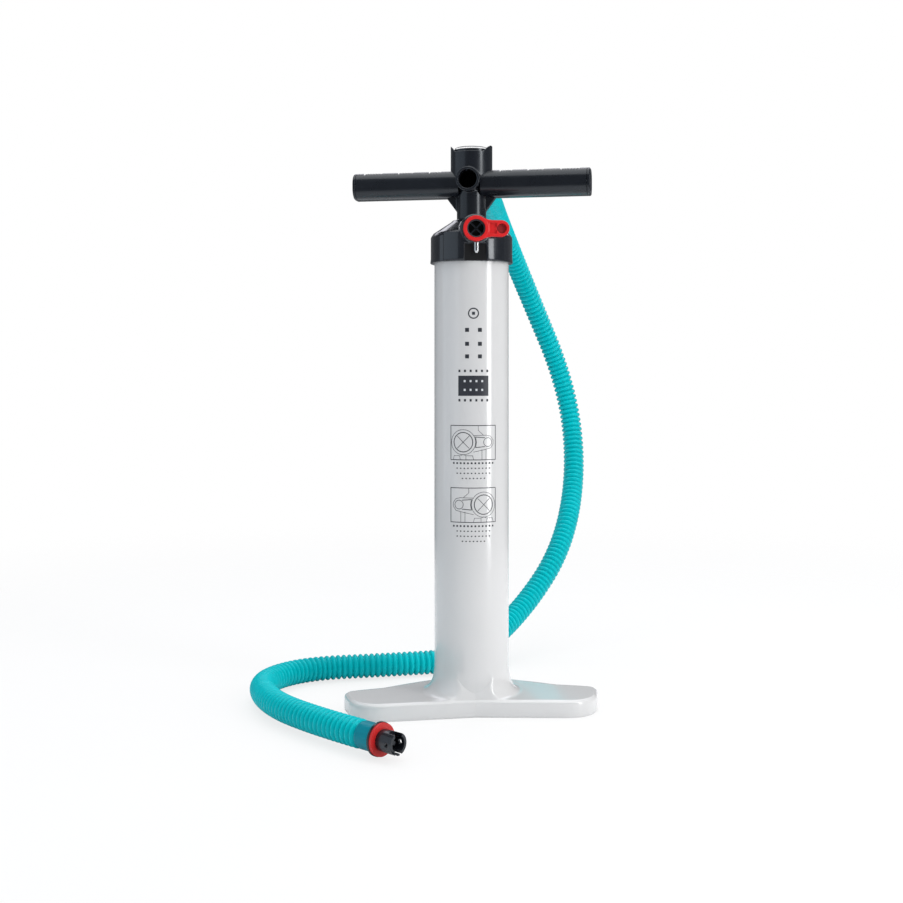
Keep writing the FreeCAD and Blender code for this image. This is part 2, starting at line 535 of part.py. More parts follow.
# ---------------------------------------------------------------- gauge
def make_gauge():
    case = turned("gauge_cup", [
        ("0", "sizes.gauge_floor"), ("sizes.gauge_od / 2", "sizes.gauge_floor"),
        ("sizes.gauge_od / 2", "sizes.gauge_rim"), ("sizes.dial_od / 2 + 0.1", "sizes.gauge_rim"),
        ("sizes.dial_od / 2 + 0.1", "sizes.dial_height"), ("sizes.dial_od / 2 - 2", "sizes.dial_height"),
        ("sizes.dial_od / 2 - 2", "sizes.gauge_floor + 4"), ("0", "sizes.gauge_floor + 4")])
    finish(case, "gauge_case")
    finish(ring("dial", "sizes.dial_od", "2.5", "1", z="sizes.dial_height"), "gauge_dial")

    spindle = cylinder("spindle", "2.4", "sizes.dial_height - sizes.gauge_floor - 0.6",
                       z="sizes.gauge_floor + 4.2")
    pointer = block("pointer", "sizes.needle_length + 3", "1.2", "0.6",
                    "sizes.needle_length / 2 - 1.5", "-0.6", "sizes.dial_height + 2.4")
    boss = cylinder("pointer_boss", "5", "1.2", z="sizes.dial_height + 2.1")
    needle = joined("needle", spindle, pointer, boss)
    finish(needle, "gauge_needle", Placement(Vector(), Rotation(Vector(0, 0, 1), size("handle_turn") - 135)))

    rim = "sizes.gauge_rim"
    lens = turned("lens", [
        ("0", rim + " + 4.7"), ("8.5", rim + " + 4.4"), ("13", rim + " + 3.1"), ("15.2", rim + " + 1.4"),
        ("15.2", rim), ("18", rim), ("18", rim + " + 1.4"), ("16.4", rim + " + 1.6"),
        ("14", rim + " + 4.3"), ("9", rim + " + 5.8"), ("0", rim + " + 6.2")])
    finish(lens, "gauge_lens")
    bezel = turned("bezel", [
        ("18.1", rim), ("sizes.gauge_od / 2", rim), ("sizes.gauge_od / 2", rim + " + 2.9"),
        ("16.7", rim + " + 2.9"), ("16.7", rim + " + 1.7"), ("18.1", rim + " + 1.5")])
    finish(bezel, "gauge_bezel")


# ---------------------------------------------------------------- hose and its fittings
def rounded_path(corners):
    """Straight runs joined by tangent arcs, each as large as its two runs allow."""
    points = [Vector(*corner) for corner in corners]
    edges = []
    at = points[0]
    radii = []
    for before, corner, after in zip(points, points[1:], points[2:]):
        incoming = (corner - before).normalize()
        outgoing = (after - corner).normalize()
        half_turn = incoming.getAngle(outgoing) / 2
        reach = 0.45 * min((corner - before).Length, (after - corner).Length)
        radius = reach / math.tan(half_turn)
        radii.append(radius)
        inward = (outgoing - incoming).normalize()
        start = corner - incoming * reach
        middle = corner + inward * (radius / math.cos(half_turn) - radius)
        end = corner + outgoing * reach
        edges.append(Part.LineSegment(at, start).toShape())
        edges.append(Part.Arc(start, middle, end).toShape())
        at = end
    edges.append(Part.LineSegment(at, points[-1]).toShape())
    print("hose bend radii, mm:", [round(radius) for radius in radii])
    return Part.Wire(edges)


def tube_along(path, across):
    start = path.Edges[0].Vertexes[0].Point
    ahead = (path.Edges[0].Vertexes[1].Point - start).normalize()
    section = Part.Wire(Part.Circle(start, ahead, across / 2).toShape())
    return path.makePipeShell([section], True, False)


def make_hose():
    path = rounded_path(HOSE_ROUTE)
    outer = size("hose_od")
    inner = outer - 2 * size("hose_wall")
    tube = tube_along(path, outer).cut(tube_along(path, inner))
    expected = math.pi / 4 * (outer ** 2 - inner ** 2) * path.Length
    print("hose length %.1f mm, volume %.0f, section x length %.0f" % (path.Length, tube.Volume, expected))
    hose = doc.addObject("Part::Feature", "hose_tube")
    hose.Shape = tube
    finish(hose, "hose")


def make_rear_fittings():
    """What joins the hose to the handle's rear port; heights run out along the port."""
    facing = dict(facing="back", z="sizes.port_height")
    washer = turned("washer", [
        ("7", "sizes.port_rear"), ("sizes.port_od / 2 - 0.2", "sizes.port_rear"),
        ("sizes.port_od / 2 - 0.2", "sizes.port_rear + 1.6"), ("7", "sizes.port_rear + 1.6")], **facing)
    finish(washer, "port_washer", handle_frame())
    tail = turned("tail", [
        ("6.8", "sizes.port_rear + 1.6"), ("12.8", "sizes.port_rear + 1.6"), ("12.8", "sizes.port_rear + 4"),
        ("9.4", "sizes.port_rear + 4"), ("9.4", "sizes.hose_start - 2"),
        ("6.8", "sizes.hose_start - 2")], **facing)
    finish(tail, "hose_tail", handle_frame())
    nut = turned("nut", [
        ("sizes.port_od / 2 + 0.1", "sizes.nut_front"), ("sizes.nut_od / 2", "sizes.nut_front"),
        ("sizes.nut_od / 2", "sizes.port_rear + 6.4"), ("9.6", "sizes.port_rear + 6.4"),
        ("9.6", "sizes.port_rear + 4"), ("sizes.port_od / 2 + 0.1", "sizes.port_rear + 4")], **facing)
    finish(nut, "hose_nut", handle_frame())
    cuff = turned("start_cuff", [
        ("9.4", "sizes.port_rear + 6.5"), ("sizes.cuff_od / 2", "sizes.port_rear + 6.5"),
        ("sizes.cuff_od / 2", "sizes.hose_start"), ("9.4", "sizes.hose_start")], **facing)
    finish(cuff, "hose_cuff_start", handle_frame())


def make_nozzle_end():
    """The cuff and bayonet nozzle that lie on the floor, built up along the hose's last run."""
    end = Vector(*HOSE_ROUTE[-1])
    ahead = end - Vector(*HOSE_ROUTE[-2])
    upright = Rotation(Vector(0, 1, 0), Vector(0, 0, 1), ahead, "ZYX")
    frame = Placement(end, upright)
    cuff = turned("end_cuff", [
        ("sizes.spigot_od / 2", "0"), ("sizes.end_cuff_od / 2 - 0.6", "0"), ("sizes.end_cuff_od / 2", "2"),
        ("sizes.end_cuff_od / 2", "sizes.end_cuff"), ("sizes.spigot_od / 2", "sizes.end_cuff")])
    finish(cuff, "hose_cuff_end", frame)

    flange_top = "sizes.end_cuff + 2.5"
    blank = turned("nozzle_blank", [
        ("sizes.spigot_bore / 2", "sizes.spigot_start"), ("sizes.spigot_od / 2", "sizes.spigot_start"),
        ("sizes.spigot_od / 2", "sizes.end_cuff"), ("sizes.flange_od / 2", "sizes.end_cuff"),
        ("sizes.flange_od / 2", flange_top), ("sizes.gasket_seat / 2", flange_top),
        ("sizes.gasket_seat / 2", flange_top + " + 4"), ("sizes.nozzle_od / 2", flange_top + " + 4"),
        ("sizes.nozzle_od / 2", "sizes.nozzle_tip"), ("sizes.nozzle_bore / 2", "sizes.nozzle_tip"),
        ("sizes.nozzle_bore / 2", "sizes.nozzle_step"), ("sizes.spigot_bore / 2", "sizes.nozzle_step")])
    lug = block("nozzle_tongue", "2.4", "1.6", "14", "-5.5", "-8", "sizes.nozzle_tip - 8")
    slot = block("nozzle_slot", "sizes.nozzle_slot", "40", "12", "0", "-20", "sizes.nozzle_tip - 9")
    holes = cylinder("nozzle_holes", "4.4", "40", "right", x="-20", z="sizes.nozzle_tip - 6")
    solid = joined("nozzle_solid", less("nozzle_slotted", blank, slot, holes), lug)
    finish(solid, "valve_nozzle", frame)

    gasket = ring("gasket", "sizes.gasket_od", "sizes.gasket_seat", "3", z=flange_top)
    finish(gasket, "nozzle_gasket", frame)
    pusher = joined("pusher_solid", cylinder("pusher_pin", "4", "14", z="sizes.pusher_at"),
                    block("pusher_web", "sizes.spigot_bore - 0.2", "2", "3", "0", "-1", "sizes.pusher_at"))
    finish(pusher, "valve_pusher", frame)


# ---------------------------------------------------------------- build, check and write
make_barrel()
make_cap()
make_selector()
make_rod_and_piston()
make_handle()
make_gauge()
make_rear_fittings()
make_hose()
make_nozzle_end()
doc.recompute()

for thing in doc.Objects:
    if "Invalid" in thing.State or "Error" in thing.State:
        raise RuntimeError("failed feature: %s (%s)" % (thing.Name, thing.Label))
for piece in pieces:
    if piece.Shape.isNull() or not piece.Shape.isValid():
        raise RuntimeError("bad shape: " + piece.Label)
for piece in pieces:
    piece.Shape.exportStep("parts/%s.step" % piece.Label)
    solids = piece.Shape.Solids
    print("%-18s solids %d  volume %9.0f mm3" % (piece.Label, len(solids), piece.Shape.Volume))
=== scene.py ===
import json
import math

import bmesh
import bpy
import numpy as np
from mathutils import Matrix, Vector


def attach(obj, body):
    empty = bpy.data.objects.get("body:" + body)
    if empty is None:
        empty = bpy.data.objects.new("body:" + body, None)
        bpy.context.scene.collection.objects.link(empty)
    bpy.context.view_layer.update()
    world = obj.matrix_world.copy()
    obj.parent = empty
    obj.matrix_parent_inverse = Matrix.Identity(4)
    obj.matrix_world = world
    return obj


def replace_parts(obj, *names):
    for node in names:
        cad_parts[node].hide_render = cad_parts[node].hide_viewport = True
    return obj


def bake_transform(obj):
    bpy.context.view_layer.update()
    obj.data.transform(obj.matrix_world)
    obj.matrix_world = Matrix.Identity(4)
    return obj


# Looks of the double action hand pump. Shapes are in mm and become metres in piece(); the camera, the
# lights, the floor and the hose's route, length and width are in metres.
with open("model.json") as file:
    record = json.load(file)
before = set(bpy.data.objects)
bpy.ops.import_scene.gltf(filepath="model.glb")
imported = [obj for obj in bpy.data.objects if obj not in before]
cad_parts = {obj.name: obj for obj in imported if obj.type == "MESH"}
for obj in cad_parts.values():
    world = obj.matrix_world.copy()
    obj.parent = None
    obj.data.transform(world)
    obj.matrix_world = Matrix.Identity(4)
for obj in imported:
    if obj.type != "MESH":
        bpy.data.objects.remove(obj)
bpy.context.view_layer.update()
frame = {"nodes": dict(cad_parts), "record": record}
MM = 0.001
scene = bpy.context.scene
scene.view_settings.view_transform = "Standard"


# ---------------------------------------------------------------- camera, floor and light
def make_camera():
    """The photograph's own camera, solved from the barrel's and the foot's outlines."""
    data = bpy.data.cameras.new("camera")
    data.lens = 50
    data.sensor_width = 36
    data.shift_y = -0.088
    camera = bpy.data.objects.new("camera", data)
    scene.collection.objects.link(camera)
    camera.location = (-0.1298, -1.3479, 0.361)
    camera.rotation_euler = (math.radians(90), 0, math.radians(-4.586))
    scene.camera = camera


def soft_box(name, at, towards, wide, tall, power, colour=(1, 1, 1), glossy=True):
    """A rectangular light, sizes in metres, that the camera doesn't see."""
    data = bpy.data.lights.new(name, "AREA")
    data.shape = "RECTANGLE"
    data.size = wide
    data.size_y = tall
    data.energy = power
    data.color = colour
    light = bpy.data.objects.new(name, data)
    scene.collection.objects.link(light)
    light.location = at
    light.visible_camera = False
    light.visible_glossy = glossy
    light.rotation_euler = (Vector(towards) - Vector(at)).to_track_quat("-Z", "Y").to_euler()


def make_room():
    """A white surround, five soft lights and a pale floor."""
    world = bpy.data.worlds.new("studio")
    scene.world = world
    world.use_nodes = True
    nodes, links = world.node_tree.nodes, world.node_tree.links
    nodes.clear()
    seen = nodes.new("ShaderNodeBackground")
    seen.inputs["Color"].default_value = (1, 1, 1, 1)
    seen.inputs["Strength"].default_value = 1.0
    fill = nodes.new("ShaderNodeBackground")
    fill.inputs["Color"].default_value = (0.93, 0.96, 1, 1)
    fill.inputs["Strength"].default_value = 0.42
    dim = nodes.new("ShaderNodeBackground")
    dim.inputs["Color"].default_value = (0.9, 0.94, 1, 1)
    dim.inputs["Strength"].default_value = 0.16
    path = nodes.new("ShaderNodeLightPath")
    gloss = nodes.new("ShaderNodeMixShader")
    mix = nodes.new("ShaderNodeMixShader")
    out = nodes.new("ShaderNodeOutputWorld")
    links.new(path.outputs["Is Glossy Ray"], gloss.inputs["Fac"])
    links.new(fill.outputs[0], gloss.inputs[1])
    links.new(dim.outputs[0], gloss.inputs[2])
    links.new(path.outputs["Is Camera Ray"], mix.inputs["Fac"])
    links.new(gloss.outputs[0], mix.inputs[1])
    links.new(seen.outputs[0], mix.inputs[2])
    links.new(mix.outputs[0], out.inputs["Surface"])

    soft_box("overhead", (0.1, -0.2, 2.3), (0, 0, 0), 2.6, 2.6, 37)
    soft_box("key", (1.22, -1.04, 0.75), (0, 0, 0.35), 0.42, 1.7, 14.5)
    soft_box("rim", (0.1, 1.5, 1.75), (0, 0, 0.5), 2.4, 0.9, 12, (0.93, 0.92, 1))
    soft_box("right_panel", (1.6, 0.1, 0.8), (0, 0, 0.35), 1.3, 1.6, 5, glossy=False)
    soft_box("left_panel", (-1.55, -0.45, 0.8), (0, 0, 0.35), 2.0, 1.6, 6.4, (0.78, 0.89, 1))

    floor = bpy.data.meshes.new("floor")
    floor.from_pydata([(-9, -9, 0), (9, -9, 0), (9, 9, 0), (-9, 9, 0)], [], [(0, 1, 2, 3)])
    ground = bpy.data.objects.new("floor", floor)
    scene.collection.objects.link(ground)
    look = bpy.data.materials.new("pale_floor")
    look.use_nodes = True
    nodes, links = look.node_tree.nodes, look.node_tree.links
    shader = nodes["Principled BSDF"]
    shader.inputs["Base Color"].default_value = (0.82, 0.822, 0.825, 1)
    shader.inputs["Roughness"].default_value = 0.9
    shader.inputs["Specular IOR Level"].default_value = 0.2
    # the floor fades into the white surround between 0.6 and 1.7 m from the pump, and is clear from below
    where = nodes.new("ShaderNodeTexCoord")
    far = nodes.new("ShaderNodeVectorMath")
    far.operation = "LENGTH"
    fade = nodes.new("ShaderNodeMapRange")
    fade.interpolation_type = "SMOOTHSTEP"
    fade.inputs["From Min"].default_value = 0.6
    fade.inputs["From Max"].default_value = 1.7
    clear = nodes.new("ShaderNodeBsdfTransparent")
    glow = nodes.new("ShaderNodeEmission")
    path = nodes.new("ShaderNodeLightPath")
    share = nodes.new("ShaderNodeMath")
    share.operation = "MULTIPLY"
    share.inputs[1].default_value = 0.78
    lifted = nodes.new("ShaderNodeMixShader")
    mix = nodes.new("ShaderNodeMixShader")
    links.new(path.outputs["Is Camera Ray"], share.inputs[0])
    links.new(share.outputs[0], lifted.inputs["Fac"])
    links.new(shader.outputs[0], lifted.inputs[1])
    links.new(glow.outputs[0], lifted.inputs[2])
    links.new(where.outputs["Object"], far.inputs[0])
    links.new(far.outputs["Value"], fade.inputs["Value"])
    side = nodes.new("ShaderNodeNewGeometry")
    unseen = nodes.new("ShaderNodeMath")
    unseen.operation = "MAXIMUM"
    links.new(fade.outputs["Result"], unseen.inputs[0])
    links.new(side.outputs["Backfacing"], unseen.inputs[1])
    # an ellipse hidden under the foot is clear too, so that light reaches the foot's underside
    under = nodes.new("ShaderNodeMapping")
    under.inputs["Scale"].default_value = (1 / 0.125, 1 / 0.033, 0)
    under.inputs["Location"].default_value = (0, 0.01 / 0.033, 0)
    size = nodes.new("ShaderNodeVectorMath")
    size.operation = "LENGTH"
    hidden = nodes.new("ShaderNodeMath")
    hidden.operation = "LESS_THAN"
    hidden.inputs[1].default_value = 1
    gone = nodes.new("ShaderNodeMath")
    gone.operation = "MAXIMUM"
    links.new(where.outputs["Object"], under.inputs["Vector"])
    links.new(under.outputs["Vector"], size.inputs[0])
    links.new(size.outputs["Value"], hidden.inputs[0])
    links.new(unseen.outputs[0], gone.inputs[0])
    links.new(hidden.outputs[0], gone.inputs[1])
    links.new(gone.outputs[0], mix.inputs["Fac"])
    links.new(lifted.outputs[0], mix.inputs[1])
    links.new(clear.outputs[0], mix.inputs[2])
    links.new(mix.outputs[0], nodes["Material Output"].inputs["Surface"])
    floor.materials.append(look)


# ---------------------------------------------------------------- materials
def make_look(name, colour, rough, tone=0.05, rough_range=0.06, grain=1800, depth=0.02, coat=0.0,
              metal=0.0, edge=0.25, extra=None):
    """A moulded, turned or rubber surface: uneven tone, uneven gloss, a fine grain and soft edges."""
    look = bpy.data.materials.new(name)
    look.use_nodes = True
    nodes, links = look.node_tree.nodes, look.node_tree.links
    shader = nodes["Principled BSDF"]
    shader.inputs["Metallic"].default_value = metal
    shader.inputs["Coat Weight"].default_value = coat
    shader.inputs["Coat Roughness"].default_value = 0.06
    where = nodes.new("ShaderNodeTexCoord")

    cloud = nodes.new("ShaderNodeTexNoise")
    cloud.inputs["Scale"].default_value = 14
    cloud.inputs["Detail"].default_value = 5
    links.new(where.outputs["Object"], cloud.inputs["Vector"])
    ramp = nodes.new("ShaderNodeValToRGB")
    ramp.color_ramp.elements[0].position = 0.3
    ramp.color_ramp.elements[1].position = 0.7
    ramp.color_ramp.elements[0].color = [c * (1 - tone) for c in colour] + [1]
    ramp.color_ramp.elements[1].color = [min(1, c * (1 + tone)) for c in colour] + [1]
    links.new(cloud.outputs["Fac"], ramp.inputs["Fac"])
    links.new(ramp.outputs["Color"], shader.inputs["Base Color"])

    patch = nodes.new("ShaderNodeTexNoise")
    patch.inputs["Scale"].default_value = 55
    patch.inputs["Detail"].default_value = 6
    links.new(where.outputs["Object"], patch.inputs["Vector"])
    spread = nodes.new("ShaderNodeMapRange")
    spread.inputs["From Min"].default_value = 0.3
    spread.inputs["From Max"].default_value = 0.7
    spread.inputs["To Min"].default_value = rough - rough_range
    spread.inputs["To Max"].default_value = rough + rough_range
    links.new(patch.outputs["Fac"], spread.inputs["Value"])
    links.new(spread.outputs["Result"], shader.inputs["Roughness"])

    fine = nodes.new("ShaderNodeTexNoise")
    fine.inputs["Scale"].default_value = grain
    fine.inputs["Detail"].default_value = 3
    links.new(where.outputs["Object"], fine.inputs["Vector"])
    bump = nodes.new("ShaderNodeBump")
    bump.inputs["Strength"].default_value = 0.5
    bump.inputs["Distance"].default_value = depth * MM
    links.new(fine.outputs["Fac"], bump.inputs["Height"])
    if edge:
        bevel = nodes.new("ShaderNodeBevel")
        bevel.samples = 4
        bevel.inputs["Radius"].default_value = edge * MM
        links.new(bevel.outputs["Normal"], bump.inputs["Normal"])
    links.new(bump.outputs["Normal"], shader.inputs["Normal"])
    for socket, value in (extra or {}).items():
        shader.inputs[socket].default_value = value
    return look


def make_looks():
    """One look per material slot in the record, and a few that only the visual pieces use."""
    return {
        "white_moulding": make_look("white_moulding", (0.645, 0.641, 0.638), 0.18, 0.012, 0.03, 900, 0.006,
                                    coat=0.5, edge=0),
        "black_moulding": make_look("black_moulding", (0.0068, 0.0084, 0.0124), 0.3, 0.15, 0.06, 2600, 0.02,
                                    coat=0.3, extra={"Specular IOR Level": 0.42,
                                                     "Specular Tint": (0.86, 0.93, 1, 1)}),
        "black_gloss": make_look("black_gloss", (0.0068, 0.0084, 0.0124), 0.24, 0.15, 0.06, 2600, 0.02,
                                 coat=0.65, extra={"Specular Tint": (0.86, 0.93, 1, 1)}),
        # near black, darker than the mouldings; it paints the shade inside the front port's bore and in the
        # well behind the grille
        "black_inside": make_look("black_inside", (0.0016, 0.0017, 0.002), 0.6, 0.1, 0.05,
                                  extra={"Specular IOR Level": 0.15}),
        "grey_moulding": make_look("grey_moulding", (0.3, 0.31, 0.32), 0.4),
        "red_moulding": make_look("red_moulding", (0.66, 0.014, 0.016), 0.33, 0.05, 0.05, 2200, 0.02,
                                  extra={"Specular IOR Level": 0.35}),
        # a near-black look that paints the shade at the back of the cap's niche
        "painted_shade_black": make_look("painted_shade_black", (0.0045, 0.005, 0.006), 0.42, 0.05, 0.05, edge=0),
        # a darker red that paints the shade at the bottom of the lever's pocket
        "red_painted_shade": make_look("red_painted_shade", (0.3, 0.004, 0.006), 0.45, 0.05, 0.05, edge=0),
        "red_seal": make_look("red_seal", (0.58, 0.012, 0.012), 0.5, 0.06, 0.06, 1600, 0.03),
        "teal_hose": make_look("teal_hose", (0.0, 0.475, 0.515), 0.27, 0.05, 0.06, 1500, 0.02, edge=0,
                               extra={"Specular IOR Level": 0.35, "Specular Tint": (0.25, 0.95, 1, 1)}),
        "teal_cuff": make_look("teal_cuff", (0.0, 0.205, 0.27), 0.35, 0.05, 0.06, 1500, 0.02,
                               extra={"Specular IOR Level": 0.3, "Specular Tint": (0.25, 0.9, 1, 1)}),
        "black_rubber": make_look("black_rubber", (0.02, 0.02, 0.021), 0.6, 0.1, 0.06),
        "bright_steel": make_look("bright_steel", (0.52, 0.53, 0.54), 0.16, 0.03, 0.05, 3000, 0.01,
                                  metal=1.0),
        "rod_aluminium": make_look("rod_aluminium", (0.72, 0.73, 0.75), 0.26, 0.03, 0.06, 2400, 0.015,
                                   metal=1.0),
        "dial_white": make_look("dial_white", (0.85, 0.85, 0.83), 0.5, 0.02),
        "needle_red": make_look("needle_red", (0.65, 0.02, 0.02), 0.4),
        "clear_lens": make_look("clear_lens", (0.92, 0.93, 0.99), 0.06, 0.01, 0.02, 300, 0.003, edge=0,
                                extra={"Alpha": 0.12, "IOR": 1.49}),
        "print_black": make_look("print_black", (0.025, 0.028, 0.036), 0.42, 0.08, 0.04, edge=0),
        "print_pale": make_look("print_pale", (0.6, 0.62, 0.64), 0.4, 0.04, 0.04, edge=0),
    }


# ---------------------------------------------------------------- mesh helpers
def piece(name, shape, body, look, at=None, sharp=38):
    """A mesh from (points in mm, faces), in the frame at, riding on a body."""
    points, faces = shape
    mesh = bpy.data.meshes.new(name)
    mesh.from_pydata([Vector(p) for p in points], [], faces)
    if at is not None:
        mesh.transform(at)
    mesh.transform(Matrix.Scale(MM, 4))
    tidy = bmesh.new()
    tidy.from_mesh(mesh)
    bmesh.ops.recalc_face_normals(tidy, faces=tidy.faces)
    tidy.to_mesh(mesh)
    tidy.free()
    for face in mesh.polygons:
        face.use_smooth = True
    mesh.set_sharp_from_angle(angle=math.radians(sharp))
    mesh.materials.append(LOOKS[look])
    obj = bpy.data.objects.new(name, mesh)
    scene.collection.objects.link(obj)
    if body:
        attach(obj, body)
    return obj


def rounded(corners, closed=False, steps=4):
    """A flat outline whose corners (x, y, radius) are rounded."""
    line = []
    count = len(corners)
    for i, (x, y, radius) in enumerate(corners):
        corner = Vector((x, y))
        if radius == 0 or (not closed and i in (0, count - 1)):
            line.append(corner)
            continue
        back = Vector(corners[i - 1][:2]) - corner
        ahead = Vector(corners[(i + 1) % count][:2]) - corner
        half = back.angle(ahead) / 2
        reach = min(radius / math.tan(half), 0.48 * back.length, 0.48 * ahead.length)
        back.normalize()
        ahead.normalize()
        middle = corner + (back + ahead).normalized() * (reach / math.cos(half))
        first = corner + back * reach - middle
        last = corner + ahead * reach - middle
        start = math.atan2(first.y, first.x)
        sweep = (math.atan2(last.y, last.x) - start + math.pi) % (2 * math.pi) - math.pi
        for k in range(steps + 1):
            angle = start + sweep * k / steps
            line.append(middle + Vector((math.cos(angle), math.sin(angle))) * first.length)
    return line


def lathe(corners, segments=96, closed=False, steps=4):
    """A turned shape from corners (radius across, height, rounding)."""
    line = rounded(corners, closed, steps)
    points, rings, faces = [], [], []
    for p in line:
        if p.x < 1e-6:
            rings.append([len(points)] * segments)
            points.append((0, 0, p.y))
            continue
        rings.append(list(range(len(points), len(points) + segments)))
        for k in range(segments):
            angle = 2 * math.pi * k / segments
            points.append((p.x * math.cos(angle), p.x * math.sin(angle), p.y))
    pairs = list(zip(rings, rings[1:])) + ([(rings[-1], rings[0])] if closed else [])
    for low, high in pairs:
        for k in range(segments):
            face = [low[k], low[(k + 1) % segments], high[(k + 1) % segments], high[k]]
            face = [v for i, v in enumerate(face) if v not in face[:i]]
            if len(face) > 2:
                faces.append(face)
    return points, faces


def prism(outline, low, high):
    """A flat outline raised between two heights."""
    count = len(outline)
    points = [(p[0], p[1], low) for p in outline] + [(p[0], p[1], high) for p in outline]
    faces = [list(range(count))[::-1], list(range(count, 2 * count))]
    faces += [[i, (i + 1) % count, count + (i + 1) % count, count + i] for i in range(count)]
    return points, faces


def loft(rings, caps=True):
    """A skin over rings that all have the same count of points."""
    count = len(rings[0])
    points = [tuple(p) for ring in rings for p in ring]
    faces = []
    for i in range(len(rings) - 1):
        for k in range(count):
            a, b = i * count + k, i * count + (k + 1) % count
            faces.append([a, b, b + count, a + count])
    if caps:
        faces += [list(range(count))[::-1], list(range((len(rings) - 1) * count, len(rings) * count))]
    return points, faces


def box_shape(low, high):
    """An upright box between two corners."""
    corners = [(low[0], low[1]), (high[0], low[1]), (high[0], high[1]), (low[0], high[1])]
    return prism(corners, low[2], high[2])


def placed(shape, at):
    """A shape moved by a matrix."""
    return [tuple(at @ Vector(p)) for p in shape[0]], shape[1]


def merged(*shapes):
    """Several shapes as one, without joining their surfaces."""
    points, faces = [], []
    for more_points, more_faces in shapes:
        start = len(points)
        points += list(more_points)
        faces += [[start + v for v in face] for face in more_faces]
    return points, faces


def raw_object(name, shape):
    """A helper object in mm, for the Booleans in fused()."""
    mesh = bpy.data.meshes.new(name)
    mesh.from_pydata([Vector(p) for p in shape[0]], [], shape[1])
    tidy = bmesh.new()
    tidy.from_mesh(mesh)
    bmesh.ops.recalc_face_normals(tidy, faces=tidy.faces)
    tidy.to_mesh(mesh)
    tidy.free()
    obj = bpy.data.objects.new(name, mesh)
    scene.collection.objects.link(obj)
    return obj


def fused(name, adds, cuts, voxel, smooth):
    """Closed shapes joined into one, others cut away, then remeshed so that edges and corners are soft."""
    base = raw_object(name + "_base", adds[0])
    helpers = [base]
    for kind, shapes in (("UNION", adds[1:]), ("DIFFERENCE", cuts)):
        for shape in shapes:
            other = raw_object(name + "_other", shape)
            helpers.append(other)
            change = base.modifiers.new("join", "BOOLEAN")
            change.operation = kind
            change.solver = "EXACT"
            change.object = other
    remesh = base.modifiers.new("remesh", "REMESH")
    remesh.mode = "VOXEL"
    remesh.voxel_size = voxel
    soft = base.modifiers.new("soft", "SMOOTH")
    soft.factor = 0.5
    soft.iterations = smooth
    bpy.context.view_layer.update()
    mesh = bpy.data.meshes.new_from_object(base.evaluated_get(bpy.context.evaluated_depsgraph_get()))
    points = [tuple(v.co) for v in mesh.vertices]
    faces = [list(face.vertices) for face in mesh.polygons]
    for helper in helpers:
        bpy.data.objects.remove(helper)
    return points, faces


# HANDLE swings the handle as in the photo; FRONT and BACK lay an upright shape along -Y and +Y
HANDLE = Matrix.Rotation(math.radians(-15), 4, "Z")
FRONT = Matrix.Rotation(math.radians(90), 4, "X")
BACK = Matrix.Rotation(math.radians(-90), 4, "X")


# ---------------------------------------------------------------- hose
# the points that the hose's line follows, from the rear port to the nozzle
ROUTE = [
    (0.015, 0.056, 0.566), (0.035, 0.130, 0.565), (0.061, 0.298, 0.569), (0.112, 0.378, 0.478),
    (0.174, 0.412, 0.345), (0.1855, 0.390, 0.230), (0.153, 0.305, 0.130), (0.090, 0.250, 0.055),
    (0.010, 0.153, 0.015), (-0.092, 0.135, 0.015), (-0.182, 0.124, 0.015), (-0.230, 0.062, 0.016),
    (-0.220, -0.015, 0.017), (-0.178, -0.093, 0.018), (-0.118, -0.158, 0.018),
]
HOSE_WIDTH = 0.028
PITCH = 6.6  # from one ridge to the next, mm
RIDGE = 3.3  # depth of the grooves, mm
SLICES = 12  # rings of points per ridge
CREST = 0.42  # below 1, broad ridges and narrow grooves
HOSE_SIDES = 40


def hose_line():
    """Points of the route's smooth line, evenly spaced, read from its NURBS spline."""
    data = bpy.data.curves.new("hose_route", "CURVE")
    data.dimensions = "3D"
    data.resolution_u = 40
    spline = data.splines.new("NURBS")
    spline.points.add(len(ROUTE) - 1)
    for point, place in zip(spline.points, ROUTE):
        point.co = (*place, 1)
    spline.order_u = 3
    spline.use_endpoint_u = True
    holder = bpy.data.objects.new("hose_route", data)
    scene.collection.objects.link(holder)
    bpy.context.view_layer.update()
    mesh = bpy.data.meshes.new_from_object(holder)
    line = np.array([v.co for v in mesh.vertices]) / MM
    bpy.data.objects.remove(holder)
    along = np.concatenate([[0], np.cumsum(np.linalg.norm(np.diff(line, axis=0), axis=1))])
    wanted = np.arange(0, along[-1], PITCH / SLICES)
    return np.stack([np.interp(wanted, along, line[:, k]) for k in range(3)], 1), wanted


def make_hose():
    """The corrugated hose, a ring of points per slice of its line."""
    line, along = hose_line()
    tangent = np.gradient(line, axis=0)
    tangent /= np.linalg.norm(tangent, axis=1)[:, None]
    side = np.cross(tangent[0], (0, 0, 1))
    rings = []
    turn = np.linspace(0, 2 * math.pi, HOSE_SIDES, endpoint=False)
    for middle, ahead, s in zip(line, tangent, along):
        side = side - ahead * side.dot(ahead)
        side /= np.linalg.norm(side)
        up = np.cross(ahead, side)
        crest = (0.5 + 0.5 * math.cos(2 * math.pi * s / PITCH)) ** CREST
        radius = HOSE_WIDTH / MM / 2 - RIDGE * (1 - crest)
        rings.append(middle + radius * (np.outer(np.cos(turn), side) + np.outer(np.sin(turn), up)))
    hose = piece("hose_corrugated", loft(rings, caps=False), None, "teal_hose", sharp=180)
    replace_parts(hose, "hose")
    return hose, line


